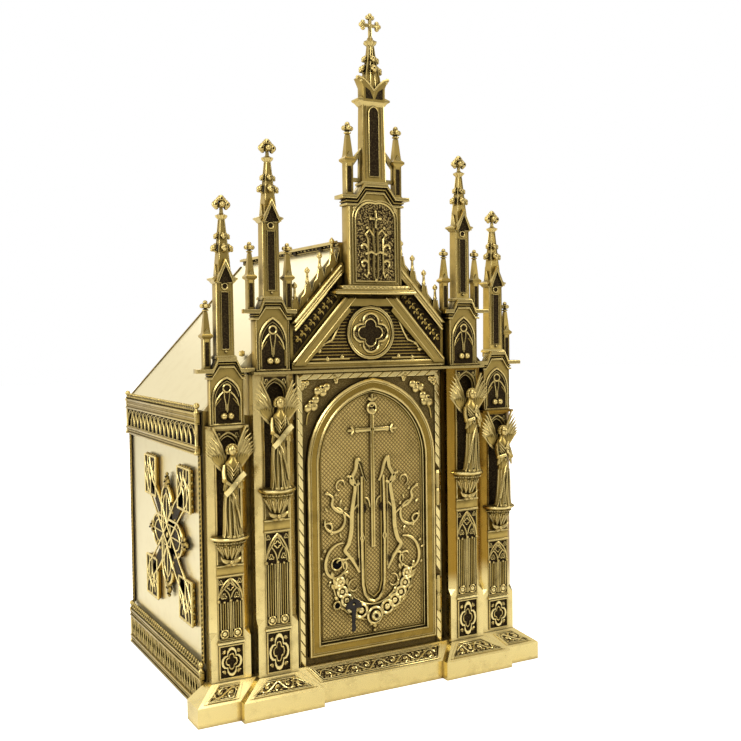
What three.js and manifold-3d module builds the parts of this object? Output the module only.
// Altar tabernacle in gilt brass: a hollow cabinet with a hinged, arched door under a gabled roof,
// behind a gothic front of buttress pillars, canopy towers, angels on corbels and a central spire.
import * as THREE from 'three';
import { mergeVertices } from 'three/addons/utils/BufferGeometryUtils.js';
import Module from 'manifold-3d';

const wasm = await Module();
wasm.setup();

// Gap between pieces that touch, and how far joined forms run into each other
const seam = 0.3;
const bite = 1;

// Cabinet
const cabinetDepth = 316;
const cabinetHeight = 357;
const wallThickness = 5;
const floorThickness = 6;
const roofFlatWidth = 80;
const roofRise = 192;
const roofSheet = 4;
const crownHeight = 8;
const crownOverhang = 4;
const crownBlocks = 4;
const rearBandThickness = 3;

// Front plate
const facadeSetback = 44;
const facadeThickness = 5;

// Plinth
const plinthOverhang = 24;
const plinthFaceHeight = 22.7;
const plinthRise = 17.3;
const plinthStep = 11;
const plinthLedge = 1;
const plinthDoorReach = 22.3;
const plinthCornerReach = 28.4;
const plinthFrameRelief = 0.8;
const plinthFrameWidth = 3;

// Door and its surround
const doorWidth = 180;
const doorSill = 10;
const doorSpring = 235;
const doorRise = 103;
const doorThickness = 12;
const doorFrameWidth = 14;
const doorPanelDrop = 4.5;
const doorClearance = 1;
const doorLap = 10;
const doorAjarGap = 0.5;
const surroundMargin = 12;
const doorHead = 9.3;
const surroundThickness = 5.7;
const ropeWidth = 6;
const ropeRelief = 2;
const ropeInset = 2;

// Door ornament
const ornamentRelief = 2.4;
const crossTop = 313;
const crossArm = 30;
const crossArmLevel = 274;
const crossBar = 7;
const loopHalf = 14;
const loopBottom = 61;
const stemBar = 4.5;
const crossShaftDrop = 54;
const scrollCentre = 48;
const scrollRadius = 21;
const crossTieRise = 66;
const swagRadius = 60;
const swagWidth = 24;
const swagLevel = 92;
const swagRelief = 5;
const swagStones = 3;
const bossRadius = 11.5;
const bossHeight = 9;
const keyBow = 9;
const keyThickness = 1.8;
const keyOffset = 34;
const keyStandoff = 6;
const bossRise = 40;
const keyRise = 59;

// Hinges on the right edge of the door
const hingeRadius = 4;
const hingeOffset = 5.5;
const hingeLength = 46;
const upperHingeLevel = 170;
const lowerHingeLevel = 32;
const knuckleGap = 0.6;

// Pillars: the inner pair flanks the door, the outer pair stands at the corners
const doorBayMargin = 7;
const pillarGap = 6.1;
const pillarInset = 0.9;
const innerPillarWidth = 51;
const innerPillarDepth = 19;
const innerBaseHeight = 68;
const innerTraceryHeight = 104;
const innerBandHeight = 13;
const innerCorbelHeight = 39;
const outerPillarWidth = 49;
const outerPillarDepth = 9.7;
const outerBaseHeight = 58;
const outerTraceryHeight = 66;
const outerBandHeight = 12;
const outerCorbelHeight = 36;
const outerNicheHeight = 124;
const pillarFaceWidth = 33;
const chamferDepth = 6.5;
const chamferStop = 9;
const panelSink = 2.2;
const imposts = 3;
const impostOverhang = 4;

// Canopy towers over the pillars
const innerLancetHeight = 63;
const outerLancetHeight = 56;
const lancetWidth = 34;
const corniceHeight = 10;
const corniceRise = 13;
const corniceOverhang = 13;
const corniceLip = 5;
const corniceTopWidth = 22;
const towerInset = 4;
const innerShaftHeight = 93.6;
const outerShaftHeight = 90.4;
const shaftWidth = 20;
const shaftDepth = 14;
const eavesWidth = 31;
const eavesHeight = 6;
const gabletHeight = 27;
const gabletWidth = 24;
const innerSpireHeight = 83;
const outerSpireHeight = 86.4;
const finialReach = 11;
const finialLobe = 4.2;
const crocketSize = 4.6;
const pinnacleHeight = 81;
const pinnacleWidth = 8.5;
const pinnacleOffset = 24;
const outerPinnacleOffset = 21;

// Gable between the inner towers
const gableGap = 1;
const gableThickness = 6;
const gableBarHeight = 9;
const rakingWidth = 9;
const rakingRelief = 6;
const lowerRakeHalf = 37;
const lowerRakeDrop = 5;
const gableDrop = 18;
const roseLevel = 44;
const roseRadius = 34;
const roseBand = 9;
const roseThickness = 6;
const crestThickness = 3.5;
const crestPosts = 4;
const crestPostHeight = 34;
const crestBase = 12;

// Central tower and its spire
const sillWidth = 113;
const sillHeight = 11;
const sillLevel = 91;
const blockWidth = 74;
const blockHeight = 98;
const centralSetback = 20;
const centralCorniceHeight = 11;
const centralCorniceRise = 15;
const centralCorniceWidth = 94;
const centralCorniceTop = 31;
const centralShaftWidth = 31;
const centralShaftHeight = 102;
const centralShaftDepth = 13;
const centralEavesWidth = 44;
const centralSpireHeight = 76.8;
const hornHeight = 26;
const centralPinnacleHeight = 90;
const centralPinnacleOffset = 33.7;
const centralPinnacleWidth = 10;
const crossFinialReach = 15;

// Side friezes, bead strips and applied side ornament
const friezeProud = 8;
const friezeFoot = 1.5;
const lowerFriezeHeight = 49.5;
const upperFriezeHeight = 50;
const friezeRail = 8;
const friezeBays = 8;
const friezePostWidth = 3;
const friezeBack = 3;
const cornerKnob = 5;
const leafCrest = 9;
const beadCrest = 10;
const beadStripWidth = 8;
const beadStripProud = 2.5;
const sideOrnamentHalfDepth = 96;
const sideOrnamentHalfHeight = 94;
const sideOrnamentBar = 14;
const sideOrnamentCornerWidth = 48;
const sideOrnamentCornerHeight = 52;
const sideOrnamentFoil = 62;
const sideOrnamentRim = 7;
const sideOrnamentLeaf = 28;
const sideOrnamentProud = 6;
const sideOrnamentSink = 4;
const sideOrnamentLevel = 190;
const sideOrnamentSetback = 178;
const roofKnobRadius = 6;

// Figures
const angelHeight = 108;
const wingSpan = 50;
const wingRise = 120;
const corbelRadius = 22.5;
const corbelProjection = 19;

// Widths that follow from the door, the pillars beside it and the gaps between them
const surroundWidth = doorWidth + 2 * surroundMargin;
const innerPillarCentre = surroundWidth / 2 + doorBayMargin + innerPillarWidth / 2;
const outerPillarCentre = innerPillarCentre + (innerPillarWidth + outerPillarWidth) / 2 + pillarGap;
const bodyWidth = 2 * (outerPillarCentre + outerPillarWidth / 2 + pillarInset);
const plinthWidth = bodyWidth + 2 * plinthOverhang;
const plinthMiddleHalf = innerPillarCentre - innerPillarWidth / 2 - plinthDoorReach;
const plinthInnerHalf = innerPillarCentre + innerPillarWidth / 2 + plinthCornerReach;
const gableHalf = surroundWidth / 2 + doorBayMargin - gableGap;

// Levels and setbacks that follow from the sizes above
const plinthTop = plinthFaceHeight + plinthRise;
const footLevel = plinthTop + seam;
const doorFoot = plinthTop + doorSill;
const bodyFront = facadeSetback + facadeThickness + seam;
const bodyRear = bodyFront + cabinetDepth;
const overallDepth = bodyRear + rearBandThickness;
const roofTop = cabinetHeight + seam + roofRise;
const innerFace = facadeSetback - seam - innerPillarDepth;
const outerFace = facadeSetback - seam - outerPillarDepth;
const innerNicheTop = doorFoot + doorSpring + doorRise + doorHead;
const innerCorbelTop = footLevel + innerBaseHeight + innerTraceryHeight + innerBandHeight + innerCorbelHeight;
const innerNicheHeight = innerNicheTop - innerCorbelTop;
const outerNicheTop = footLevel + outerBaseHeight + outerTraceryHeight + outerBandHeight
  + outerCorbelHeight + outerNicheHeight;
const impostTop = innerNicheTop + seam + imposts;
const towerFoot = impostTop + seam;
const surroundFace = facadeSetback - seam - surroundThickness;
const doorBack = facadeSetback - doorAjarGap;
const doorFace = doorBack - doorThickness;
const doorCorner = doorWidth / 2;
const doorArchCentre = (doorRise * doorRise - doorCorner * doorCorner) / (2 * doorCorner);
const bossLevel = doorFoot + bossRise;

// Materials, one for each kind of finish
const gilt = () => new THREE.MeshStandardMaterial({ color: 0xd9c486, roughness: 0.25, metalness: 1 });
const antique = () => new THREE.MeshStandardMaterial({ color: 0xa88c45, roughness: 0.4, metalness: 1 });
const dark = () => new THREE.MeshStandardMaterial({ color: 0x6d5a32, roughness: 0.55, metalness: 0.9 });
const steel = () => new THREE.MeshStandardMaterial({ color: 0x55524d, roughness: 0.45, metalness: 0.9 });

const model = new THREE.Group();
model.position.y = -overallDepth / 2;

// Turns a closed geometry into a solid that can be joined and cut
function solid(geometry) {
  const plain = geometry.clone();
  plain.deleteAttribute('normal');
  plain.deleteAttribute('uv');
  const merged = mergeVertices(plain, 1e-4);
  return new wasm.Manifold(new wasm.Mesh({
    numProp: 3,
    vertProperties: new Float32Array(merged.attributes.position.array),
    triVerts: new Uint32Array(merged.index.array),
  }));
}

function geometryOf(form) {
  const mesh = form.getMesh();
  const geometry = new THREE.BufferGeometry();
  geometry.setAttribute('position', new THREE.BufferAttribute(new Float32Array(mesh.vertProperties), 3));
  geometry.setIndex(new THREE.BufferAttribute(new Uint32Array(mesh.triVerts), 1));
  return geometry;
}

function join(...forms) {
  return forms.flat().reduce((whole, form) => whole.add(form));
}

function cut(form, ...tools) {
  return tools.flat().reduce((whole, tool) => whole.subtract(tool), form);
}

// A mirror image across the plane x = 0
function mirrored(form) {
  const geometry = geometryOf(form);
  geometry.scale(-1, 1, 1);
  const order = geometry.index.array;
  for (let i = 0; i < order.length; i += 3) {
    [order[i], order[i + 1]] = [order[i + 1], order[i]];
  }
  return solid(geometry);
}

function place(name, form, material, x = 0, y = 0, z = 0) {
  const geometry = geometryOf(form).toNonIndexed();
  geometry.computeVertexNormals();
  const mesh = new THREE.Mesh(geometry, material);
  mesh.name = name;
  mesh.position.set(x, y, z);
  model.add(mesh);
}

function block(x0, x1, y0, y1, z0, z1) {
  const geometry = new THREE.BoxGeometry(x1 - x0, y1 - y0, z1 - z0);
  geometry.translate((x0 + x1) / 2, (y0 + y1) / 2, (z0 + z1) / 2);
  return solid(geometry);
}

// A flat outline seen from the front, in x and z, given a depth from setback y0 to setback y1
function slab(outline, y0, y1, steps = 6) {
  const shape = outline instanceof THREE.Shape ? outline : shapeOf(outline);
  const geometry = new THREE.ExtrudeGeometry(shape, {
    depth: y1 - y0, bevelEnabled: false, curveSegments: steps,
  });
  geometry.rotateX(Math.PI / 2);
  geometry.translate(0, y1, 0);
  return solid(geometry);
}

// A flat outline seen from the side, in y and z, given a width from x0 to x1
function rail(outline, x0, x1) {
  const geometry = new THREE.ExtrudeGeometry(shapeOf(outline), { depth: x1 - x0, bevelEnabled: false });
  geometry.applyMatrix4(new THREE.Matrix4().set(0, 0, 1, x0, 1, 0, 0, 0, 0, 1, 0, 0, 0, 0, 0, 1));
  return solid(geometry);
}

function shapeOf(points) {
  return new THREE.Shape(points.map(([a, b]) => new THREE.Vector2(a, b)));
}

function rectangle(x0, x1, z0, z1) {
  return [[x0, z0], [x1, z0], [x1, z1], [x0, z1]];
}

// A turned form from [radius, height] pairs, standing on the point x, y, z
function turned(profile, x, y, z, sides = 10) {
  const points = [[0, profile[0][1]], ...profile, [0, profile[profile.length - 1][1]]];
  const geometry = new THREE.LatheGeometry(points.map(([r, h]) => new THREE.Vector2(r, h)), sides);
  geometry.rotateX(Math.PI / 2);
  geometry.translate(x, y, z);
  return solid(geometry);
}

// A form with a square plan from [half width, height] pairs; its depth may be a share of its width
function squared(profile, x, y, z, depthShare = 1) {
  const points = [[0, profile[0][1]], ...profile, [0, profile[profile.length - 1][1]]];
  const geometry = new THREE.LatheGeometry(
    points.map(([r, h]) => new THREE.Vector2(r * Math.SQRT2, h)), 4, Math.PI / 4);
  geometry.rotateX(Math.PI / 2);
  geometry.scale(1, depthShare, 1);
  geometry.translate(x, y, z);
  return solid(geometry);
}

function ball(radius, x, y, z) {
  const geometry = new THREE.OctahedronGeometry(radius, 0);
  geometry.translate(x, y, z);
  return solid(geometry);
}

function turnedBall(radius, x, y, z) {
  const geometry = new THREE.IcosahedronGeometry(radius, 0);
  geometry.translate(x, y, z);
  return solid(geometry);
}

// The points of a pointed arch with straight jambs: half width, foot, springing and rise
function archPoints(half, foot, spring, rise, steps, centreX = 0) {
  const offset = (rise * rise - half * half) / (2 * half);
  const radius = half + offset;
  const top = Math.atan2(rise, offset);
  const right = [];
  for (let i = 0; i <= steps; i += 1) {
    const angle = (top * i) / steps;
    right.push([radius * Math.cos(angle) - offset, spring + radius * Math.sin(angle)]);
  }
  const left = right.slice(0, -1).reverse().map(([x, z]) => [-x, z]);
  return [[-half, foot], [half, foot], ...right, ...left].map(([x, z]) => [x + centreX, z]);
}

// The door's outline, grown or shrunk by an even margin all round
function doorOutline(margin, steps = 5) {
  const half = doorCorner + margin;
  const radius = doorArchCentre + half;
  const rise = Math.sqrt(radius * radius - doorArchCentre * doorArchCentre);
  return archPoints(half, doorFoot - margin, doorFoot + doorSpring, rise, steps);
}

// The outline of four round lobes that meet in cusps
function quatrefoil(x, z, reach, steps = 4) {
  const lobe = reach * 0.45;
  const middle = reach - lobe;
  const cusp = (middle + Math.sqrt(2 * lobe * lobe - middle * middle)) / 2;
  const sweep = Math.atan2(cusp, cusp - middle);
  const points = [];
  for (let turn = 0; turn < 4; turn += 1) {
    const facing = (turn * Math.PI) / 2;
    for (let i = 0; i < steps; i += 1) {
      const angle = facing - sweep + (2 * sweep * i) / steps;
      points.push([x + middle * Math.cos(facing) + lobe * Math.cos(angle),
        z + middle * Math.sin(facing) + lobe * Math.sin(angle)]);
    }
  }
  return points;
}

// Plinth: a stepped front board with hipped, sloping tops and a raised frame on each slope
function hippedBoard(x0, x1, front, face, hipLeft, hipRight) {
  const profile = rail([[front, 0], [facadeSetback + facadeThickness, 0],
    [facadeSetback + facadeThickness, plinthTop], [face - plinthLedge, plinthTop],
    [front, plinthFaceHeight]], x0, x1);
  const hip = slab([[x0, 0], [x1, 0], [x1, plinthFaceHeight], [x1 - hipRight, plinthTop],
    [x0 + hipLeft, plinthTop], [x0, plinthFaceHeight]], front - bite, facadeSetback + facadeThickness + bite);
  return profile.intersect(hip);
}

function slopeFrame(x0, x1, front, face, leanLeft, leanRight) {
  const run = face - plinthLedge - front;
  const length = Math.hypot(run, plinthRise);
  const low = length * 0.14;
  const high = length * 0.88;
  const outline = [[x0 + leanLeft * low, low], [x1 - leanRight * low, low],
    [x1 - leanRight * high, high], [x0 + leanLeft * high, high]];
  const shape = shapeOf(outline);
  const w = plinthFrameWidth;
  shape.holes.push(shapeOf([[outline[0][0] + w * 1.4, low + w], [outline[3][0] + w, high - w],
    [outline[2][0] - w, high - w], [outline[1][0] - w * 1.4, low + w]]));
  const geometry = new THREE.ExtrudeGeometry(shape, { depth: plinthFrameRelief + bite, bevelEnabled: false });
  geometry.translate(0, 0, -bite);
  geometry.rotateX(Math.atan2(plinthRise, run));
  geometry.translate(0, front, plinthFaceHeight);
  return solid(geometry);
}

function plinth() {
  const half = plinthWidth / 2;
  const back = hippedBoard(-half, half, plinthStep, outerFace, plinthOverhang, plinthOverhang);
  const right = join(
    hippedBoard(plinthMiddleHalf, plinthInnerHalf, 0, innerFace, plinthDoorReach, plinthCornerReach),
    slopeFrame(plinthMiddleHalf + 4, plinthInnerHalf - 4, 0, innerFace,
      plinthDoorReach / innerFace, plinthCornerReach / innerFace),
    slopeFrame(plinthInnerHalf + 3, half - 5, plinthStep, outerFace, -0.5, 1),
  );
  const middle = slopeFrame(-plinthMiddleHalf + 3, plinthMiddleHalf - 3, plinthStep, outerFace, -0.5, -0.5);
  return join(back, right, mirrored(right), middle);
}

place('base_plinth', plinth(), gilt());

// Cabinet shell, roof and the crown moulding along its flat top
function roofOutline(inset) {
  const slope = (bodyWidth - roofFlatWidth) / 2 / roofRise;
  const shift = inset * Math.hypot(1, slope);
  const foot = cabinetHeight + seam;
  const high = roofTop - inset;
  const topHalf = roofFlatWidth / 2 + slope * inset - shift;
  return [[-(bodyWidth / 2 - shift), foot], [bodyWidth / 2 - shift, foot], [topHalf, high], [-topHalf, high]];
}

function cabinetShell() {
  const half = bodyWidth / 2;
  return cut(block(-half, half, bodyFront, bodyRear, 0, cabinetHeight),
    block(-half + wallThickness, half - wallThickness, bodyFront - bite, bodyRear - wallThickness,
      floorThickness, cabinetHeight + bite));
}

function roof() {
  const inner = roofOutline(roofSheet);
  const hollow = [[inner[0][0], inner[0][1] - bite], [inner[1][0], inner[1][1] - bite],
    inner[1], inner[2], inner[3], inner[0]];
  return cut(slab(roofOutline(0), bodyFront, bodyRear),
    slab(hollow, bodyFront - bite, bodyRear - roofSheet));
}

function crown() {
  const half = roofFlatWidth / 2;
  const foot = roofTop + seam;
  const pieces = [
    block(-half, half, bodyFront, bodyRear, foot, foot + crownHeight * 0.65),
    block(-half - crownOverhang, half + crownOverhang, bodyFront, bodyRear + rearBandThickness,
      foot + crownHeight * 0.6, foot + crownHeight),
  ];
  for (let i = 0; i < crownBlocks; i += 1) {
    const y = bodyFront + ((i + 0.5) * cabinetDepth) / crownBlocks;
    pieces.push(block(-half - crownOverhang * 0.7, half + crownOverhang * 0.7, y - 3.5, y + 3.5,
      foot, foot + crownHeight * 0.65));
  }
  return join(pieces);
}

function vergeTrim() {
  const half = bodyWidth / 2;
  const top = roofFlatWidth / 2 + crownOverhang;
  const line = [[half, cabinetHeight + 2], [top, roofTop - 2]];
  const band = [[line[0][0], line[0][1]], [line[1][0], line[1][1]],
    [line[1][0] - 6, line[1][1]], [line[0][0] - 6, line[0][1]]];
  const right = slab(band, bodyRear + seam, bodyRear + rearBandThickness);
  return join(right, mirrored(right), block(-half + 5, half - 5, bodyRear + seam,
    bodyRear + rearBandThickness, cabinetHeight + 2, cabinetHeight + 8));
}

function rearFrame() {
  const half = bodyWidth / 2;
  const shape = shapeOf(rectangle(-half, half, 0, cabinetHeight - 1));
  shape.holes.push(shapeOf(
    rectangle(-half + 14, half - 14, lowerFriezeHeight, cabinetHeight - upperFriezeHeight)));
  return slab(shape, bodyRear + seam, bodyRear + rearBandThickness);
}

place('cabinet_shell', cabinetShell(), gilt());
place('roof', roof(), gilt());
place('roof_crown', crown(), antique());
place('rear_verge_trim', vergeTrim(), antique());
place('rear_frame', rearFrame(), gilt());

// Front plate behind the pillars, with the doorway cut through it
function frontPlate() {
  const half = bodyWidth / 2;
  const flat = roofFlatWidth / 2;
  const shape = shapeOf([[-half, footLevel], [half, footLevel], [half, cabinetHeight], [flat, roofTop],
    [-flat, roofTop], [-half, cabinetHeight]]);
  shape.holes.push(shapeOf(doorOutline(-doorLap)));
  return slab(shape, facadeSetback, facadeSetback + facadeThickness);
}

function rosettePoints(x, z, radius, sides) {
  const points = [];
  for (let i = 0; i < sides; i += 1) {
    const angle = (i * 2 * Math.PI) / sides;
    points.push([x + radius * Math.cos(angle), z + radius * Math.sin(angle)]);
  }
  return points;
}

function surround() {
  const half = surroundWidth / 2;
  const top = innerNicheTop;
  const shape = shapeOf(rectangle(-half, half, footLevel, top));
  shape.holes.push(shapeOf(doorOutline(doorClearance)));
  const plate = slab(shape, surroundFace, facadeSetback - seam);
  const outer = half - ropeInset;
  const rope = shapeOf([[-outer, footLevel], [-outer + ropeWidth, footLevel],
    [-outer + ropeWidth, top - ropeInset - ropeWidth], [outer - ropeWidth, top - ropeInset - ropeWidth],
    [outer - ropeWidth, footLevel], [outer, footLevel], [outer, top - ropeInset], [-outer, top - ropeInset]]);
  const band = slab(rope, surroundFace - ropeRelief, surroundFace + bite);
  const notches = [upperHingeLevel, lowerHingeLevel].map((rise) => block(half - hingeOffset * 2, half,
    surroundFace - hingeRadius, surroundFace, doorFoot + rise - bite, doorFoot + rise + hingeLength + bite));
  return join(plate, cut(band, notches));
}

place('front_plate', frontPlate(), antique());
place('door_surround', surround(), dark());

// Door: an arched panel in a moulded frame
function doorLeaf() {
  const shape = shapeOf(doorOutline(0));
  shape.holes.push(shapeOf(doorOutline(-doorFrameWidth)));
  const lip = shapeOf(doorOutline(-doorFrameWidth * 0.3));
  lip.holes.push(shapeOf(doorOutline(-doorFrameWidth * 0.75)));
  return join(slab(doorOutline(0), doorFace + doorPanelDrop, doorBack),
    slab(shape, doorFace + 2, doorBack), slab(lip, doorFace, doorBack));
}

const panelFace = doorFace + doorPanelDrop;
const ornamentBack = panelFace - seam;
const ornamentFace = ornamentBack - ornamentRelief;

// A stroke of even width along a flat line of points
function stroke(points, width) {
  const left = [];
  const right = [];
  points.forEach((point, i) => {
    const before = points[Math.max(i - 1, 0)];
    const after = points[Math.min(i + 1, points.length - 1)];
    const length = Math.hypot(after[0] - before[0], after[1] - before[1]);
    const nx = (-(after[1] - before[1]) / length) * (width / 2);
    const nz = ((after[0] - before[0]) / length) * (width / 2);
    left.push([point[0] + nx, point[1] + nz]);
    right.push([point[0] - nx, point[1] - nz]);
  });
  return [...left, ...right.reverse()];
}

// Part of a spiral scroll about a centre, from one angle and radius to another
function scroll(x, z, startAngle, endAngle, startRadius, endRadius, steps) {
  const points = [];
  for (let i = 0; i <= steps; i += 1) {
    const share = i / steps;
    const angle = startAngle + (endAngle - startAngle) * share;
    const radius = startRadius + (endRadius - startRadius) * share;
    points.push([x + radius * Math.cos(angle), z + radius * Math.sin(angle)]);
  }
  return points;
}

// The raised cross on its long stem, with pointed lights, a round loop below and open scrolls beside it
function doorRelief() {
  const level = doorFoot + crossArmLevel;
  const loopLevel = doorFoot + loopBottom + loopHalf;
  const shaftTop = level - crossShaftDrop;
  const barLevel = loopLevel + crossTieRise;
  const far = loopHalf * 2;
  const thin = stemBar * 0.7;
  const raised = (outline) => slab(outline, ornamentFace, ornamentBack);
  const centre = [
    raised(rectangle(-crossBar / 2, crossBar / 2, barLevel, doorFoot + crossTop)),
    raised(rectangle(-crossArm, crossArm, level - crossBar / 2, level + crossBar / 2)),
    raised(rosettePoints(0, doorFoot + crossTop - crossBar * 2.4, crossBar * 1.1, 4)),
    raised(rosettePoints(0, doorFoot + crossTop, crossBar, 4)),
    raised(stroke([[loopHalf, shaftTop], ...scroll(0, loopLevel, 0, -Math.PI, loopHalf, loopHalf, 5),
      [-loopHalf, shaftTop]], stemBar)),
    raised(rectangle(-scrollCentre, scrollCentre, barLevel - thin / 2, barLevel + thin / 2)),
  ];
  const side = (sign) => {
    const lean = (points) => points.map(([x, z]) => [x * sign, z]);
    return [
      raised(rosettePoints(sign * crossArm, level, crossBar, 4)),
      raised(stroke(lean([[0, shaftTop - 12], [loopHalf, shaftTop + 2], [far, shaftTop - 20],
        [far, loopLevel + loopHalf * 3], [loopHalf, loopLevel + loopHalf]]), stemBar)),
      raised(stroke(lean(scroll(scrollCentre, barLevel + scrollRadius, 0.15 * Math.PI, 1.5 * Math.PI,
        scrollRadius * 0.8, scrollRadius, 5)), thin)),
      raised(stroke(lean(scroll(scrollCentre, barLevel - scrollRadius, 0.5 * Math.PI, -0.8 * Math.PI,
        scrollRadius, scrollRadius * 0.8, 5)), thin)),
    ];
  };
  return join(...centre, ...side(1), ...side(-1));
}

// The crescent that hangs below the loop, with set stones on each side of the boss
function doorSwag() {
  const centreZ = doorFoot + swagLevel;
  const inner = swagRadius - swagWidth;
  const middle = swagRadius - swagWidth / 2;
  const start = -0.95 * Math.PI;
  const end = -0.05 * Math.PI;
  const outline = [...scroll(0, centreZ, start, end, swagRadius, swagRadius, 8),
    ...scroll(0, centreZ, end, start, inner, inner, 8)];
  const face = ornamentBack - swagRelief * 0.45;
  const stones = [];
  [-1, 1].forEach((side) => {
    for (let i = 0; i < swagStones; i += 1) {
      const angle = (side * (i + 1.3) * Math.PI) / 10 - Math.PI / 2;
      stones.push(turnedFront([[swagWidth * 0.32, 0], [swagWidth * 0.14, swagRelief * 0.6]],
        middle * Math.cos(angle), face + 0.2, centreZ + middle * Math.sin(angle), 5));
    }
  });
  return join(slab(outline, face, ornamentBack), stones);
}

// A turned form that points to the front, from [radius, height] pairs
function turnedFront(profile, x, y, z, sides = 10) {
  const points = [[0, profile[0][1]], ...profile, [0, profile[profile.length - 1][1]]];
  const geometry = new THREE.LatheGeometry(points.map(([r, h]) => new THREE.Vector2(r, h)), sides);
  geometry.rotateX(Math.PI);
  geometry.translate(x, y, z);
  return solid(geometry);
}

function doorBoss() {
  const foot = ornamentBack - swagRelief * 0.45 - seam;
  return turnedFront([[bossRadius, 0], [bossRadius, bossHeight * 0.4], [bossRadius * 0.65, bossHeight * 0.45],
    [bossRadius * 0.55, bossHeight * 0.9], [bossRadius * 0.3, bossHeight]], 0, foot, bossLevel, 10);
}

// The key hangs in its lock: a round bow with a flat blade below and a shank into the lock
function doorKey() {
  const foot = ornamentBack - swagRelief - seam;
  const face = foot - keyStandoff;
  const x = -keyOffset;
  const z = doorFoot + keyRise;
  const bow = cut(slab(rosettePoints(x, z, keyBow, 8), face - keyThickness, face),
    slab(rosettePoints(x, z, keyBow * 0.35, 4), face - keyThickness - bite, face + bite));
  return join(bow, slab(rectangle(x - keyBow * 0.33, x + keyBow * 0.33, z - keyBow * 3.6, z - keyBow + bite),
    face - keyThickness, face),
  turnedFront([[keyBow * 0.22, 0], [keyBow * 0.22, keyStandoff + 0.2]], x, foot, z - keyBow * 1.4, 6));
}

place('door', doorLeaf(), antique());
place('door_relief', doorRelief(), gilt());
place('door_swag', doorSwag(), gilt());
place('door_boss', doorBoss(), gilt());
place('door_key', doorKey(), steel());

// Hinges: each has a knuckle on the door above one on the surround
const hingeX = doorCorner + hingeOffset;
const hingeY = doorFace + hingeRadius - 2;

function knuckle(level, height) {
  const bead = hingeRadius * 0.72;
  return turned([[bead, 0], [hingeRadius, height * 0.15], [hingeRadius, height * 0.85], [bead, height]],
    hingeX, hingeY, level, 6);
}

[['upper', upperHingeLevel], ['lower', lowerHingeLevel]].forEach(([name, rise]) => {
  const level = doorFoot + rise;
  const half = (hingeLength - knuckleGap) / 2;
  const doorHalf = join(knuckle(level + half + knuckleGap, half),
    block(doorCorner + seam, hingeX, hingeY - 1.5, hingeY + 1.5, level + half + 5, level + hingeLength - 5));
  const fixedHalf = join(knuckle(level, half),
    block(hingeX - 1.5, hingeX + 1.5, hingeY, surroundFace - seam, level + 4, level + half - 4));
  place(`${name}_hinge_door_knuckle`, doorHalf, antique());
  place(`${name}_hinge_fixed_knuckle`, fixedHalf, antique());
});

// Pillars: a square base with a quatrefoil panel, then a chamfered shaft with two lights below a
// plain band, room for the corbel, and an arched niche for the figure
function chamferTool(x, sign, face, foot, top) {
  const wide = chamferDepth * 1.35;
  const corner = [[x + sign * bite, face - bite], [x - sign * wide, face - bite],
    [x + sign * bite, face + chamferDepth]];
  const order = sign > 0 ? [...corner].reverse() : corner;
  const shape = shapeOf(order);
  const geometry = new THREE.ExtrudeGeometry(shape, { depth: top - foot, bevelEnabled: false });
  geometry.translate(0, 0, foot);
  return solid(geometry);
}

// A corner stop below the chamfer: a point that widens up to the chamfer's triangle
function chamferPoint(x, sign, face, foot) {
  const wide = chamferDepth * 1.35;
  const low = [x + sign * 0.5, face - 0.5, foot - chamferStop];
  const a = [x + sign * bite, face - bite, foot + 0.5];
  const b = [x - sign * wide, face - bite, foot + 0.5];
  const c = [x + sign * bite, face + chamferDepth, foot + 0.5];
  const corners = sign > 0 ? [low, a, b, c] : [low, a, c, b];
  const geometry = new THREE.BufferGeometry();
  geometry.setAttribute('position', new THREE.BufferAttribute(new Float32Array(corners.flat()), 3));
  geometry.setIndex([0, 1, 2, 0, 2, 3, 0, 3, 1, 1, 3, 2]);
  return solid(geometry);
}

function pillar(width, depth, face, baseHeight, traceryHeight, bandHeight, corbelHeight, nicheHeight) {
  const half = width / 2;
  const faceHalf = pillarFaceWidth / 2;
  const baseTop = footLevel + baseHeight;
  const bandFoot = baseTop + traceryHeight;
  const nicheFoot = bandFoot + bandHeight + corbelHeight;
  const top = nicheFoot + nicheHeight;
  const sunk = (outline, extra = 0) => slab(outline, face - bite, face + panelSink + extra, 5);
  const light = faceHalf / 2;
  const cuts = [
    chamferTool(half, 1, face, baseTop, top + bite),
    chamferTool(-half, -1, face, baseTop, top + bite),
    chamferPoint(half, 1, face, baseTop),
    chamferPoint(-half, -1, face, baseTop),
    sunk(quatrefoil(0, (footLevel + baseTop - chamferStop) / 2, faceHalf - 4, 3)),
    sunk(archPoints(light - 2, baseTop + 6, bandFoot - 20, 14, 2, -light)),
    sunk(archPoints(light - 2, baseTop + 6, bandFoot - 20, 14, 2, light)),
    sunk(rectangle(-faceHalf + 1, faceHalf - 1, bandFoot + bandHeight + 1, nicheFoot), 1),
    slab(archPoints(faceHalf - 2, nicheFoot - bite, top - 24, 18, 4), face - bite, face + depth * 0.45),
  ];
  return cut(block(-half, half, face, facadeSetback - seam, footLevel, top), ...cuts);
}

// A thin projecting bar that runs over the pillar's top
function impostBar(halfWidth, face, top) {
  return block(-halfWidth, halfWidth, face - impostOverhang, facadeSetback - seam, top, top + imposts);
}

const innerPillar = pillar(innerPillarWidth, innerPillarDepth, innerFace, innerBaseHeight,
  innerTraceryHeight, innerBandHeight, innerCorbelHeight, innerNicheHeight);
const outerPillar = join(
  pillar(outerPillarWidth, outerPillarDepth, outerFace, outerBaseHeight, outerTraceryHeight,
    outerBandHeight, outerCorbelHeight, outerNicheHeight),
  impostBar(outerPillarWidth / 2, outerFace, outerNicheTop - 0.01),
);
const innerImpostHalf = innerPillarCentre + innerPillarWidth / 2 + impostOverhang * 0.5;

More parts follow.
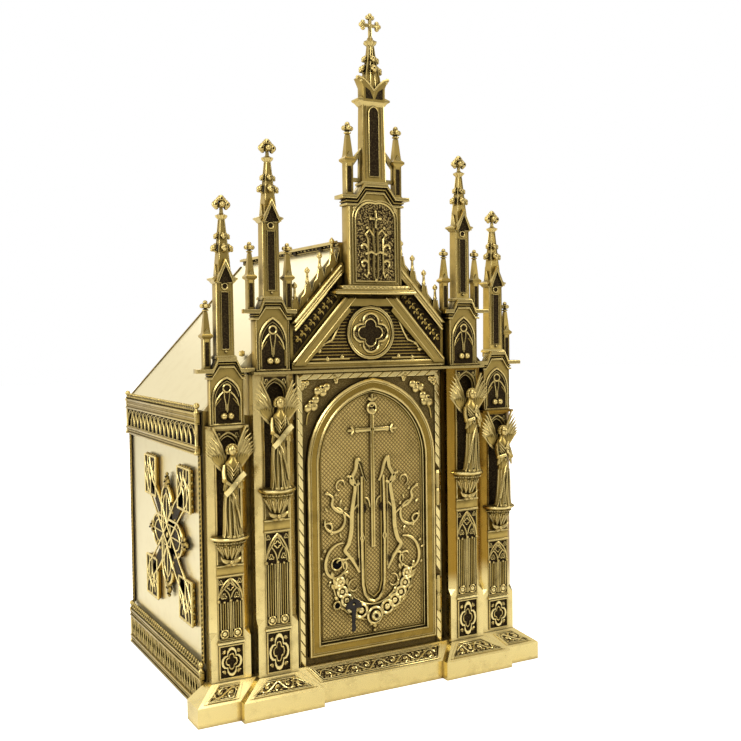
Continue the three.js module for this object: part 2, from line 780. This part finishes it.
place('impost_moulding', block(-innerImpostHalf, innerImpostHalf, innerFace - impostOverhang,
  facadeSetback - seam, innerNicheTop + seam, impostTop), gilt());

// Towers: a lancet panel, a stepped cornice with a raised middle, a slim panelled shaft with eaves
// and gablets, and a crocketed spirelet with a four-lobed finial
function raisedBand(half, shoulder, topHalf, foot, rise, thickness) {
  const low = [[-half, foot], [-shoulder, foot], [-topHalf, foot + rise], [topHalf, foot + rise],
    [shoulder, foot], [half, foot]];
  const high = low.map(([x, z]) => [x, z + thickness]).reverse();
  return [...low, ...high];
}

function finial(x, y, z, reach, lobe) {
  return join(
    ball(lobe * 1.2, x, y, z + reach - lobe),
    ball(lobe * 1.3, x - reach + lobe, y, z),
    ball(lobe * 1.3, x + reach - lobe, y, z),
    block(x - reach + lobe, x + reach - lobe, y - lobe * 0.5, y + lobe * 0.5, z - lobe * 0.5, z + lobe * 0.5),
  );
}

function crockets(x, y, z, reach, size) {
  return [-1, 1].map((side) => ball(size, x + side * reach, y, z));
}

function spirelet(x, y, foot, height, half, reach, lobe) {
  const collar = height * 0.7;
  return join(
    squared([[half, 0], [half * 0.32, collar], [half * 0.62, collar + half], [half * 0.3, collar + half * 1.4],
      [half * 0.3, height - reach * 1.1]], x, y, foot),
    ...crockets(x, y, foot + height * 0.36, half * 1.05, crocketSize),
    finial(x, y, foot + height - reach * 1.02, reach, lobe),
  );
}

function gablet(x, face, foot, half, height, depth) {
  return cut(slab([[x - half, foot], [x + half, foot], [x, foot + height]], face, face + depth),
    slab([[x - half * 0.5, foot + half * 0.2], [x + half * 0.5, foot + half * 0.2], [x, foot + height * 0.62]],
      face - bite, face + 2));
}

function pinnacle(x, y, foot, height, width) {
  const half = width / 2;
  return squared([[half, 0], [half, height * 0.47], [half * 1.6, height * 0.5], [half * 0.85, height * 0.54],
    [half * 0.4, height - half * 3], [half * 1.4, height - half * 1.5], [half * 0.3, height]], x, y, foot);
}

function tower(width, face, foot, lancetHeight, shaftHeight, spireHeight, pinnacleOffsets) {
  const back = facadeSetback - seam;
  const half = width / 2 - chamferDepth * 0.6;
  const front = face + towerInset;
  const lancetHalf = lancetWidth / 2;
  const corniceFoot = foot + lancetHeight;
  const corniceTop = corniceFoot + corniceHeight + corniceRise;
  const bump = corniceTopWidth / 2;
  const shaftFront = front + 1;
  const shaftMiddle = shaftFront + shaftDepth / 2;
  const shaftTop = corniceTop + shaftHeight;
  const shaftHalf = shaftWidth / 2;
  const share = shaftDepth / shaftWidth;
  const reach = width / 2 + corniceOverhang;
  const light = lancetHalf / 2;
  const lancet = cut(slab([[-half, foot], [half, foot], [half, corniceFoot + 3], [bump, corniceTop - 4],
    [-bump, corniceTop - 4], [-half, corniceFoot + 3]], front, back),
  slab(archPoints(light - 1.2, foot + 3, corniceFoot - 22, 14, 2, -light), front - bite, front + panelSink),
  slab(archPoints(light - 1.2, foot + 3, corniceFoot - 22, 14, 2, light), front - bite, front + panelSink));
  const cornice = slab(raisedBand(reach, bump + 6, bump, corniceFoot + corniceHeight * 0.5, corniceRise,
    corniceHeight * 0.5), front - corniceLip, back);
  const shaft = cut(
    squared([[shaftHalf * 1.06, 0], [shaftHalf, shaftHeight + 2]], 0, shaftMiddle, corniceTop - 2, share),
    block(-shaftHalf * 0.46, shaftHalf * 0.46, shaftFront - bite * 2, shaftFront + 2,
      corniceTop + 8, shaftTop - 14));
  const eaves = squared([[shaftHalf, -eavesHeight], [eavesWidth / 2 - 3, -eavesHeight * 0.4],
    [eavesWidth / 2, 0], [shaftHalf, eavesHeight * 0.5]], 0, shaftMiddle, shaftTop, share * 0.8);
  const gable = gablet(0, shaftFront - 6, shaftTop - 4, gabletWidth / 2, gabletHeight, 10);
  const spire = spirelet(0, shaftMiddle, shaftTop, spireHeight + finialReach, shaftHalf * 0.72, finialReach,
    finialLobe);
  const pinnacles = pinnacleOffsets.map((offset) => pinnacle(offset, front + 9, corniceFoot + corniceHeight - 2,
    pinnacleHeight, pinnacleWidth));
  return join(lancet, cornice, shaft, eaves, gable, spire, ...pinnacles);
}

const tipBack = facadeSetback - gableThickness - rakingRelief - seam * 2;
const tipFoot = towerFoot + innerLancetHeight / 2;
const tipRooms = [-1, 1].map((side) => {
  const near = side * (innerPillarCentre - gableHalf - seam);
  const far = side * innerPillarWidth;
  return block(Math.min(near, far), Math.max(near, far), tipBack, facadeSetback, tipFoot, roofTop);
});
const neighbourGap = outerPillarCentre - innerPillarCentre - innerPillarWidth / 2 + chamferDepth * 0.6 - seam;
const innerTower = cut(tower(innerPillarWidth, innerFace, towerFoot, innerLancetHeight, innerShaftHeight,
  innerSpireHeight, [-pinnacleOffset, pinnacleOffset]), tipRooms);
const outerTower = cut(tower(outerPillarWidth, outerFace - towerInset, outerNicheTop + imposts + seam,
  outerLancetHeight, outerShaftHeight, outerSpireHeight, [outerPinnacleOffset]),
block(-outerPillarWidth, -neighbourGap, 0, facadeSetback, towerFoot, roofTop));

// Corbels: half-round tiers that narrow downwards
function corbel(face, top, height) {
  const r = corbelRadius;
  const tiers = [[r * 0.25, -height], [r * 0.5, -height * 0.72], [r * 0.5, -height * 0.6],
    [r * 0.72, -height * 0.4],
    [r * 0.74, -height * 0.26], [r, -height * 0.16], [r, 0]];
  const whole = turned(tiers, 0, 0, 0, 8);
  const geometry = geometryOf(whole);
  geometry.scale(1, corbelProjection / r, 1);
  geometry.translate(0, face - seam, top);
  return cut(solid(geometry), block(-r * 2, r * 2, face - seam, face + r * 2, top - height - bite, top + bite));
}

const outerCorbelTop = footLevel + outerBaseHeight + outerTraceryHeight + outerBandHeight + outerCorbelHeight;

// Angels: a fluted robe, bowed head, folded arms and raised wings
function loft(rings, sides) {
  const positions = [];
  const index = [];
  rings.forEach(({ z, rx, ry, x = 0, y = 0, fold = 0 }) => {
    for (let i = 0; i < sides; i += 1) {
      const angle = (i * 2 * Math.PI) / sides;
      const swell = 1 + fold * (i % 2 === 0 ? 1 : -1);
      positions.push(x + rx * swell * Math.cos(angle), y + ry * swell * Math.sin(angle), z);
    }
  });
  for (let level = 0; level < rings.length - 1; level += 1) {
    for (let i = 0; i < sides; i += 1) {
      const a = level * sides + i;
      const b = level * sides + ((i + 1) % sides);
      index.push(a, b, b + sides, a, b + sides, a + sides);
    }
  }
  const last = (rings.length - 1) * sides;
  for (let i = 1; i < sides - 1; i += 1) {
    index.push(0, i + 1, i, last, last + i, last + i + 1);
  }
  const geometry = new THREE.BufferGeometry();
  geometry.setAttribute('position', new THREE.BufferAttribute(new Float32Array(positions), 3));
  geometry.setIndex(index);
  return solid(geometry);
}

function limb(from, to, r0, r1, sides = 6) {
  const a = new THREE.Vector3(...from);
  const b = new THREE.Vector3(...to);
  const geometry = new THREE.CylinderGeometry(r1, r0, a.distanceTo(b), sides, 1);
  geometry.translate(0, a.distanceTo(b) / 2, 0);
  geometry.applyQuaternion(new THREE.Quaternion().setFromUnitVectors(
    new THREE.Vector3(0, 1, 0), b.clone().sub(a).normalize()));
  geometry.translate(a.x, a.y, a.z);
  return solid(geometry);
}

function wing(side, y) {
  const outline = [[0.1, 0.66], [0.4, 0.56], [0.75, 0.68], [1, 1], [0.55, 0.86]];
  const points = outline.map(([x, z]) => [(side * x * wingSpan) / 2, z * wingRise]);
  return slab(side > 0 ? points : points.reverse(), y, y + 3);
}

// The figure's proportions are shares of its own height
function angel(withScroll) {
  const h = angelHeight;
  const rings = [[0, 0.12, 0.08, 0.14], [0.3, 0.09, 0.065, 0.14], [0.58, 0.085, 0.06, 0.08],
    [0.74, 0.115, 0.065, 0], [0.87, 0.035, 0.035, 0]]
    .map(([z, rx, ry, fold]) => ({ z: z * h, rx: rx * h, ry: ry * h, fold, y: -0.02 * h }));
  const head = new THREE.IcosahedronGeometry(0.07 * h, 0);
  head.scale(0.88, 1, 1.12);
  head.translate(0, -0.045 * h, 0.925 * h);
  const hand = withScroll ? 0.56 : 0.64;
  const arms = [-1, 1].map((side) => limb([side * 0.11 * h, -0.03 * h, 0.7 * h],
    [side * 0.01 * h, -0.11 * h, (hand + side * 0.03) * h], 0.045 * h, 0.024 * h, 4));
  const parts = [loft(rings, 8), solid(head), ...arms, wing(-1, 0.02 * h), wing(1, 0.02 * h)];
  if (withScroll) {
    parts.push(limb([-0.12 * h, -0.105 * h, 0.48 * h], [0.13 * h, -0.105 * h, 0.68 * h], 0.024 * h, 0.024 * h, 4));
  }
  return join(parts);
}

const scrollAngel = angel(true);
const prayingAngel = angel(false);

[['left', -1], ['right', 1]].forEach(([name, side]) => {
  const turnedOver = (form) => (side < 0 ? mirrored(form) : form);
  place(`inner_${name}_pillar`, innerPillar, gilt(), side * innerPillarCentre);
  place(`outer_${name}_pillar`, outerPillar, gilt(), side * outerPillarCentre);
  place(`inner_${name}_tower`, innerTower, antique(), side * innerPillarCentre);
  place(`outer_${name}_tower`, turnedOver(outerTower), antique(), side * outerPillarCentre);
  place(`inner_${name}_corbel`, corbel(innerFace, innerCorbelTop - seam, innerCorbelHeight - 3), antique(),
    side * innerPillarCentre);
  place(`outer_${name}_corbel`, corbel(outerFace, outerCorbelTop - seam, outerCorbelHeight - 3), antique(),
    side * outerPillarCentre);
  const figure = side < 0 ? scrollAngel : prayingAngel;
  place(`inner_${name}_angel`, figure, antique(), side * innerPillarCentre,
    innerFace - corbelProjection * 0.52, innerCorbelTop);
  place(`outer_${name}_angel`, figure, antique(), side * outerPillarCentre,
    outerFace - corbelProjection * 0.52, outerCorbelTop);
});

// Gable: a plain bar, a moulded triangle with its top cut flat, a leafy field and an outer raking
// moulding, all on one plate that stands behind the central tower
const gableFoot = towerFoot;
const gableFace = facadeSetback - seam - gableThickness;
const roofSlope = roofRise / ((bodyWidth - roofFlatWidth) / 2);
const flatHalf = roofFlatWidth / 2;
const sillFoot = gableFoot + sillLevel;
const sillHalf = sillWidth / 2;
const blockHalf = blockWidth / 2;

// The line of the gable's raking edge, parallel to the roof and a little below it
function rakeLine(x) {
  return roofTop - gableDrop - (x - flatHalf) * roofSlope;
}

function rake(footX, footZ, topX, topZ, width, face) {
  const right = slab([[footX, footZ], [topX, topZ], [topX - width * 0.55, topZ - width],
    [footX - width, footZ]], face, gableFace + bite);
  return join(right, mirrored(right));
}

function gable() {
  const half = gableHalf;
  const raised = gableFace - rakingRelief;
  const plate = slab([[-half, gableFoot], [half, gableFoot], [half, rakeLine(half)], [flatHalf, rakeLine(flatHalf)],
    [flatHalf, roofTop], [-flatHalf, roofTop], [-flatHalf, rakeLine(flatHalf)], [-half, rakeLine(half)]],
  gableFace, facadeSetback - seam);
  const bar = block(-half, half, gableFace - rakingRelief * 0.7, gableFace + bite, gableFoot,
    gableFoot + gableBarHeight);
  const lowerTop = sillFoot - lowerRakeDrop;
  const lower = rake(half - 2, gableFoot + gableBarHeight * 0.6, lowerRakeHalf, lowerTop, rakingWidth * 1.7, raised);
  const cap = block(-lowerRakeHalf + 1, lowerRakeHalf - 1, raised, gableFace + bite, lowerTop - rakingWidth, lowerTop);
  const upper = rake(half, rakeLine(half), flatHalf, rakeLine(flatHalf), rakingWidth, raised);
  const seat = slab(rosettePoints(0, gableFoot + roseLevel, roseRadius + seam, 20), raised - bite, gableFace);
  const towerRoom = [
    block(-sillHalf - seam, sillHalf + seam, raised - bite, gableFace, sillFoot - seam, sillFoot + sillHeight + seam),
    block(-blockHalf - seam, blockHalf + seam, raised - bite, gableFace, sillFoot, roofTop + bite),
  ];
  return cut(join(plate, bar, lower, cap, upper), seat, ...towerRoom);
}

function rose() {
  const z = gableFoot + roseLevel;
  const back = gableFace - seam;
  const ring = shapeOf(rosettePoints(0, z, roseRadius, 20));
  ring.holes.push(shapeOf(rosettePoints(0, z, roseRadius - roseBand * 0.45, 12)));
  const leafRing = shapeOf(rosettePoints(0, z, roseRadius - 2, 12));
  leafRing.holes.push(shapeOf(quatrefoil(0, z, roseRadius - roseBand, 3)));
  return join(slab(ring, back - roseThickness, back), slab(leafRing, back - roseThickness * 0.6, back),
    slab(rosettePoints(0, z, roseRadius - 1, 12), back - 1.5, back));
}

// Cresting on the gable's raking edge: ball-topped posts with hollow curves between them
function cresting() {
  const back = facadeSetback - seam;
  const front = back - crestThickness;
  const start = flatHalf + seam;
  const step = (gableHalf - start) / crestPosts;
  const edge = (x) => rakeLine(x) + seam;
  const top = [[gableHalf, edge(gableHalf)]];
  const balls = [];
  for (let i = crestPosts - 1; i >= 0; i -= 1) {
    const x = start + step * (i + 0.5);
    const peak = edge(x) + crestPostHeight;
    top.push([x + step * 0.5, edge(x + step * 0.5) + crestBase], [x + step * 0.3, edge(x) + crestBase * 0.9],
      [x + 2.4, edge(x) + crestPostHeight * 0.55], [x + 1.8, peak], [x - 1.8, peak],
      [x - 2.6, edge(x) + crestPostHeight * 0.66], [x - step * 0.25, edge(x) + crestBase * 1.5]);
    balls.push(ball(3.6, x, (front + back) / 2, peak + 1.6));
  }
  const outline = [[start, edge(start)], ...top, [start, edge(start) + crestBase * 1.3]];
  return join(slab(outline, front, back, 1), ...balls);
}

place('gable', gable(), antique());
place('rose_window', rose(), gilt());
place('right_cresting', cresting(), antique());
place('left_cresting', mirrored(cresting()), antique());

// Central tower: a sill, a block with a sunk arched panel, a stepped cornice, a slim shaft with a
// small pinnacle on each side, flared eaves with upturned corners and a crocketed spire with a cross
function centralTower() {
  const front = centralSetback;
  const back = gableFace - seam;
  const blockFoot = sillFoot + sillHeight;
  const corniceFoot = blockFoot + blockHeight;
  const corniceTop = corniceFoot + centralCorniceHeight + centralCorniceRise;
  const shaftHalf = centralShaftWidth / 2;
  const shaftTop = corniceTop + centralShaftHeight;
  const shaftMiddle = front + 1 + centralShaftDepth / 2;
  const share = centralShaftDepth / centralShaftWidth;
  const panelHalf = blockHalf - 9;
  const wide = centralCorniceWidth / 2;
  const sill = [
    block(-sillHalf, sillHalf, front - 4, back, sillFoot, sillFoot + sillHeight * 0.45),
    block(-sillHalf + 8, sillHalf - 8, front - 2, back, sillFoot, blockFoot),
  ];
  const arch = archPoints(panelHalf, blockFoot + 4, corniceFoot - 17, 19, 4);
  const blockForm = cut(slab([[-blockHalf, blockFoot - bite], [blockHalf, blockFoot - bite],
    [blockHalf, corniceFoot + 3], [shaftHalf, corniceTop - 4], [-shaftHalf, corniceTop - 4],
    [-blockHalf, corniceFoot + 3]], front, back), slab(arch, front - bite, front + panelSink * 1.6));
  const bands = [
    slab(raisedBand(blockHalf + 3, blockHalf - 13, shaftHalf - 3, corniceFoot - 1, centralCorniceRise,
      centralCorniceHeight * 0.6), front - 2, back),
    slab(raisedBand(wide, blockHalf - 10, centralCorniceTop / 2, corniceFoot + centralCorniceHeight * 0.6,
      centralCorniceRise, centralCorniceHeight * 0.4), front - 5, back),
  ];
  const shaft = cut(squared([[shaftHalf * 1.08, 0], [shaftHalf * 0.92, centralShaftHeight + 2]], 0, shaftMiddle,
    corniceTop - 2, share), slab(archPoints(shaftHalf * 0.44, corniceTop + 9, shaftTop - 14, 9, 2),
    front - bite, front + 3.5));
  const eavesHalf = centralEavesWidth / 2;
  const eaves = squared([[shaftHalf * 0.9, -eavesHeight * 1.2], [eavesHalf - 5, -eavesHeight * 0.5],
    [eavesHalf, 0], [shaftHalf * 0.85, eavesHeight * 0.8]], 0, shaftMiddle, shaftTop, share);
  const horns = [-1, 1].map((side) => slab([[side * shaftHalf * 0.95, shaftTop],
    [side * shaftHalf * 0.95, shaftTop + hornHeight * 0.6], [side * shaftHalf * 1.3, shaftTop + hornHeight],
    [side * shaftHalf * 0.8, shaftTop + hornHeight * 0.92], [side * shaftHalf * 0.3, shaftTop + hornHeight * 0.65],
    [0, shaftTop + hornHeight * 0.4], [0, shaftTop]], front - 2, front + centralShaftDepth));
  const spireFoot = shaftTop + 1;
  const spire = join(
    squared([[shaftHalf * 0.8, 0], [shaftHalf * 0.62, 26], [shaftHalf * 0.26, centralSpireHeight * 0.85],
      [shaftHalf * 0.2, centralSpireHeight]], 0, shaftMiddle, spireFoot),
    squared([[shaftHalf * 0.24, 0], [shaftHalf * 0.36, 6], [shaftHalf * 0.2, 9]], 0, shaftMiddle,
      spireFoot + centralSpireHeight - 9),
    ...crockets(0, shaftMiddle, spireFoot + centralSpireHeight * 0.5, shaftHalf * 0.75, crocketSize));
  const crossZ = spireFoot + centralSpireHeight + crossFinialReach * 0.95;
  const arm = crossFinialReach;
  const cross = join(
    block(-1.8, 1.8, shaftMiddle - 1.8, shaftMiddle + 1.8, spireFoot + centralSpireHeight - 2, crossZ + arm * 0.6),
    block(-arm * 0.7, arm * 0.7, shaftMiddle - 1.8, shaftMiddle + 1.8, crossZ - 1.8, crossZ + 1.8),
    ...[[-1, 0], [1, 0], [0, 1]].map(([dx, dz]) => slab(rosettePoints(dx * (arm - 5), crossZ + dz * (arm - 5), 5, 6),
      shaftMiddle - 2.6, shaftMiddle + 2.6)));
  const pinnacles = [-1, 1].map((side) => join(
    pinnacle(side * centralPinnacleOffset, front + 6, corniceFoot + centralCorniceHeight - 1, centralPinnacleHeight,
      centralPinnacleWidth),
    slab(stroke([[side * centralPinnacleOffset, corniceFoot + 54], [side * (shaftHalf - 1), corniceFoot + 66]], 5),
      front + 4, front + 8)));
  return join(...sill, blockForm, ...bands, shaft, eaves, ...horns, spire, cross, ...pinnacles);
}

place('central_tower', centralTower(), antique());

// Friezes along the sides: two rails with an open row of posts and small arches between them
const friezeSpan = bodyRear - bodyFront;

function frieze(foot, height, crest) {
  const wall = bodyWidth / 2 + seam;
  const face = wall + friezeProud;
  const y0 = bodyFront;
  const y1 = bodyRear;
  const step = friezeSpan / friezeBays;
  const forms = [
    block(wall, face, y0, y1, foot, foot + friezeRail),
    block(wall, face, y0, y1, foot + height - friezeRail, foot + height),
    block(wall, face - 1, y0, y0 + 4, foot, foot + height),
    block(wall, face - 1, y1 - 5, y1, foot, foot + height),
    ball(cornerKnob, face - 2, y1 - 3, foot + cornerKnob),
    ball(cornerKnob, face - 2, y1 - 3, foot + height - cornerKnob * 0.3),
  ];
  for (let i = 1; i < friezeBays; i += 1) {
    const y = y0 + step * i;
    forms.push(block(wall + friezeBack - 0.5, face - 2, y - friezePostWidth / 2, y + friezePostWidth / 2,
      foot + friezeRail - 1, foot + height - friezeRail + 1));
  }
  const row = [];
  for (let i = friezeBays - 1; i >= 0; i -= 1) {
    const y = y0 + step * i;
    row.push([y + step, foot + height + crest * 0.3], [y + step * 0.5, foot + height + crest]);
  }
  const plate = [[y0, foot], [y1, foot], ...row, [y0, foot + height + crest * 0.3]];
  forms.push(rail(plate, wall, wall + friezeBack));
  return join(...forms);
}

function beadStrip(y) {
  const wall = bodyWidth / 2 + seam;
  return block(wall, wall + beadStripProud, y, y + beadStripWidth, friezeFoot + lowerFriezeHeight + leafCrest + seam,
    upperFriezeFoot - seam);
}

// An openwork saltire: a square with two lights at each corner, a quatrefoil in the middle and a leaf
// at each end of its axes
function sideOrnament() {
  const wall = bodyWidth / 2 + seam;
  const face = wall + sideOrnamentProud;
  const floor = face - sideOrnamentSink;
  const y = sideOrnamentSetback;
  const z = sideOrnamentLevel;
  const across = sideOrnamentCornerWidth / 2;
  const up = sideOrnamentCornerHeight / 2;
  const a = sideOrnamentHalfDepth - across;
  const b = sideOrnamentHalfHeight - up;
  const length = Math.hypot(a, b);
  const ny = (sideOrnamentBar * b) / (2 * length);
  const nz = (sideOrnamentBar * a) / (2 * length);
  const sink = (outline) => rail(outline, floor, face + bite);
  const light = (cy, cz) => sink(archPoints(across * 0.36, cz - up * 0.8, cz + up * 0.25, up * 0.5, 1, cy));
  const corners = [];
  const bars = [-1, 1].map((lean) => {
    [-1, 1].forEach((side) => {
      const cy = y + side * a;
      const cz = z + side * lean * b;
      corners.push(cut(rail(rectangle(cy - across, cy + across, cz - up, cz + up), wall, face),
        light(cy - across * 0.47, cz), light(cy + across * 0.47, cz)));
    });
    const outline = [[y - a - ny, z - lean * b + lean * nz], [y - a + ny, z - lean * b - lean * nz],
      [y + a + ny, z + lean * b - lean * nz], [y + a - ny, z + lean * b + lean * nz]];
    return rail(lean > 0 ? outline : outline.reverse(), wall, face);
  });
  const foil = cut(rail(quatrefoil(y, z, sideOrnamentFoil, 3), wall, face),
    sink(quatrefoil(y, z, sideOrnamentFoil - sideOrnamentRim, 3)));
  const leaves = [[0, 1], [0, -1], [1, 0], [-1, 0]].map(([dy, dz]) => {
    const half = sideOrnamentLeaf / 2;
    const reach = sideOrnamentFoil * 0.85 + half;
    const outline = [[-half, 0], [0, -half * 0.7], [half, 0], [0, half * 0.7]];
    return rail(outline.map(([u, v]) => [y + dy * (reach + u) + dz * v, z + dz * (reach + u) - dy * v]), wall, face);
  });
  return join(...corners, foil, ...bars, ...leaves);
}

function roofKnob() {
  const x = (innerPillarCentre + outerPillarCentre) / 2 + 0.5;
  const slopeLength = Math.hypot(1, roofSlope);
  const z = roofTop - (x - flatHalf) * roofSlope + (roofKnobRadius * 0.75 + seam) * slopeLength;
  return turnedBall(roofKnobRadius * 0.75, x, bodyFront + roofKnobRadius, z);
}

const upperFriezeFoot = cabinetHeight - upperFriezeHeight - 2;
const sideForms = [
  ['lower_frieze', frieze(friezeFoot, lowerFriezeHeight, leafCrest)],
  ['upper_frieze', frieze(upperFriezeFoot, upperFriezeHeight, beadCrest)],
  ['front_bead_strip', beadStrip(bodyFront)],
  ['rear_bead_strip', beadStrip(bodyRear - beadStripWidth)],
  ['side_ornament', sideOrnament()],
  ['roof_knob', roofKnob()],
];
sideForms.forEach(([name, form]) => {
  place(`right_${name}`, form, antique());
  place(`left_${name}`, mirrored(form), antique());
});

export default model;
